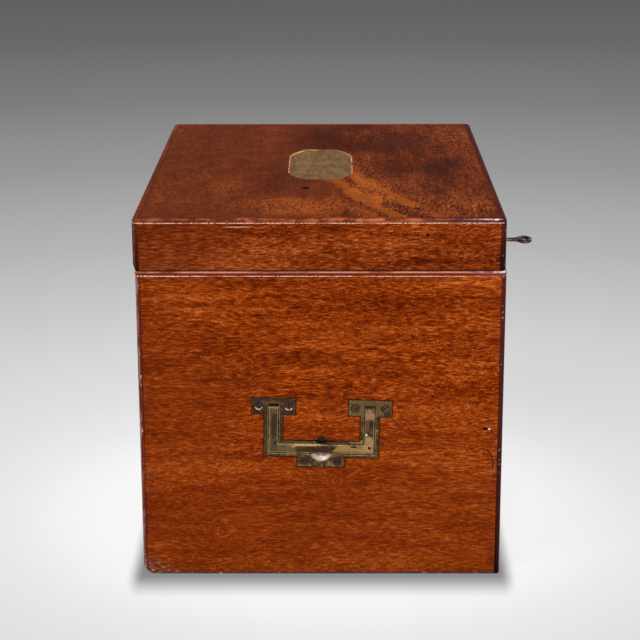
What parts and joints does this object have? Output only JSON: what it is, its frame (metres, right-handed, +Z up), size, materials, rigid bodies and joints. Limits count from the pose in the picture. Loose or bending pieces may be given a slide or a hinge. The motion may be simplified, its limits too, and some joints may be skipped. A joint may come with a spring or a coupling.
{
  "type": "decanter box",
  "caption": "Mahogany decanter box: lined cells under a hinged lid, box lock with its key, inlaid brass plate, flush folding handles in the ends.",
  "frame": {"origin": "centre of the underside of the box, on the surface it stands on", "axes": "+X along the length towards the right end, -Y towards the front with the lock, +Z up"},
  "size_m": [0.374, 0.3004, 0.265],
  "materials": {
    "mahogany": "French-polished mahogany, worn",
    "mahogany_top": "French-polished mahogany, mottled and darker than the sides",
    "mahogany_inside": "waxed, unpolished",
    "aged_brass": "tarnished cast brass",
    "plate_brass": "dull rubbed sheet brass",
    "lock_brass": "lacquered brass",
    "steel": "dark oiled steel",
    "baize": "green wool baize"
  },
  "bodies": {
    "box": {"front_board": "mahogany", "back_board": "mahogany", "left_end_board": "mahogany", "right_end_board": "mahogany", "rim_bead_front": "mahogany", "rim_bead_back": "mahogany", "rim_bead_left": "mahogany", "rim_bead_right": "mahogany", "base_board": "mahogany_inside", "long_divider_1": "mahogany_inside", "cross_divider_1": "mahogany_inside", "cross_divider_2": "mahogany_inside", "left_handle_plate": "aged_brass", "left_handle_pins": "aged_brass", "left_handle_screws": "aged_brass", "right_handle_plate": "aged_brass", "right_handle_pins": "aged_brass", "right_handle_screws": "aged_brass", "left_hinge_body_leaf": "aged_brass", "left_hinge_pin": "aged_brass", "left_hinge_body_screws": "aged_brass", "right_hinge_body_leaf": "aged_brass", "right_hinge_pin": "aged_brass", "right_hinge_body_screws": "aged_brass", "keyhole_escutcheon": "aged_brass", "lock_plate": "lock_brass", "lock_case": "lock_brass", "lock_screws": "lock_brass", "lock_spring": "steel", "lock_drill_pin": "steel", "floor_lining": "baize", "cell_lining": "baize"},
    "lid": {"lid_front_rail": "mahogany", "lid_back_rail": "mahogany", "lid_left_rail": "mahogany", "lid_right_rail": "mahogany", "lid_top_board": "mahogany_top", "lid_lining": "baize", "name_plate": "plate_brass", "left_hinge_lid_leaf": "aged_brass", "left_hinge_lid_screws": "aged_brass", "right_hinge_lid_leaf": "aged_brass", "right_hinge_lid_screws": "aged_brass", "link_plate": "lock_brass", "link_plate_screws": "lock_brass"},
    "left_bail": {"left_handle_bail": "aged_brass"},
    "right_bail": {"right_handle_bail": "aged_brass"},
    "key": {"key": "steel"},
    "lock_bolt": {"lock_bolt": "steel"}
  },
  "joints": [
    {"name": "lid_hinge", "type": "hinge", "parent": "box", "child": "lid", "pos_m": [0, 0.131, 0.22785], "axis": [-1, 0, 0], "range_deg": [0, 95]},
    {"name": "left_bail_pivot", "type": "hinge", "parent": "box", "child": "left_bail", "pos_m": [-0.1849, -0.00074, 0.1254], "axis": [0, 0.9997, 0.0262], "range_deg": [0, 90]},
    {"name": "right_bail_pivot", "type": "hinge", "parent": "box", "child": "right_bail", "pos_m": [0.1849, 0, 0.1254], "axis": [0, -1, 0], "range_deg": [0, 90]},
    {"name": "key_turn", "type": "hinge", "parent": "box", "child": "key", "pos_m": [0, -0.1295, 0.205], "axis": [0, 1, 0], "range_deg": [-90, 270]},
    {"name": "bolt_throw", "type": "slide", "parent": "box", "child": "lock_bolt", "axis": [1, 0, 0], "range_m": [-0.0015, 0.0045]}
  ],
  "couplings": [
    {"joint": "key_turn", "follows": "bolt_throw", "rad_per_m": 1047.2}
  ]
}
